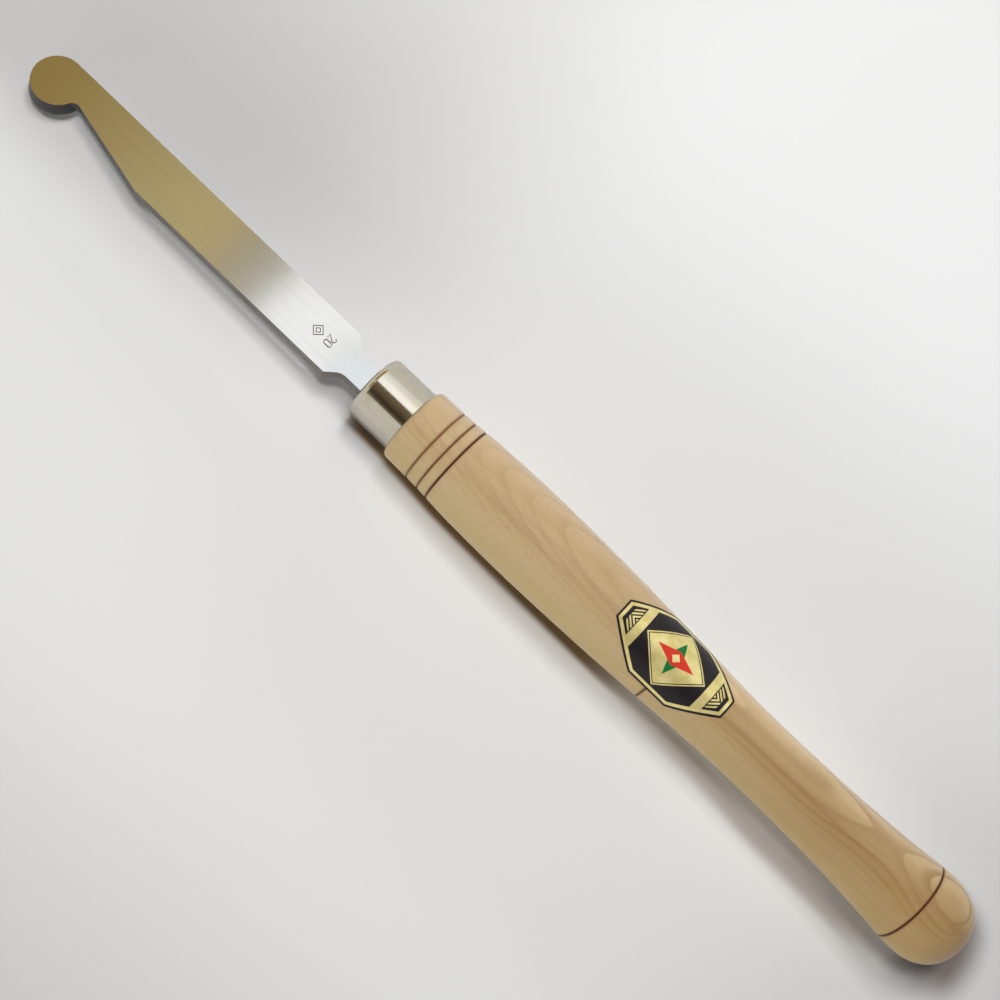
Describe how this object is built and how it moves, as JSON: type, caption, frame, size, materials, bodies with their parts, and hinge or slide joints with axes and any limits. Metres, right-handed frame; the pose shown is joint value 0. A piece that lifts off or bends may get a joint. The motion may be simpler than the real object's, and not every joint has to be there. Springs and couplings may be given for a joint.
{
  "type": "woodturning scraper",
  "caption": "Woodturner's scraper: a flat steel blade with a hooked round nose, its tang set in a plated ferrule and a turned beech handle with scorched rings and a foil label.",
  "frame": {"origin": "on the tool's axis, in the plane where the ferrule meets the handle's shoulder", "axes": "+X along the axis towards the nose, +Z out of the broad face that carries the size mark, +Y to the side that the nose hooks to"},
  "size_m": [0.462, 0.0344, 0.0344],
  "materials": {
    "blade_steel": "satin ground",
    "ferrule_plate": "polished nickel",
    "handle_beech": "smooth, waxed",
    "label_foil": "printed foil"
  },
  "bodies": {
    "root": {"blade": "blade_steel", "ferrule": "ferrule_plate", "handle": "handle_beech", "label": "label_foil"}
  },
  "joints": []
}
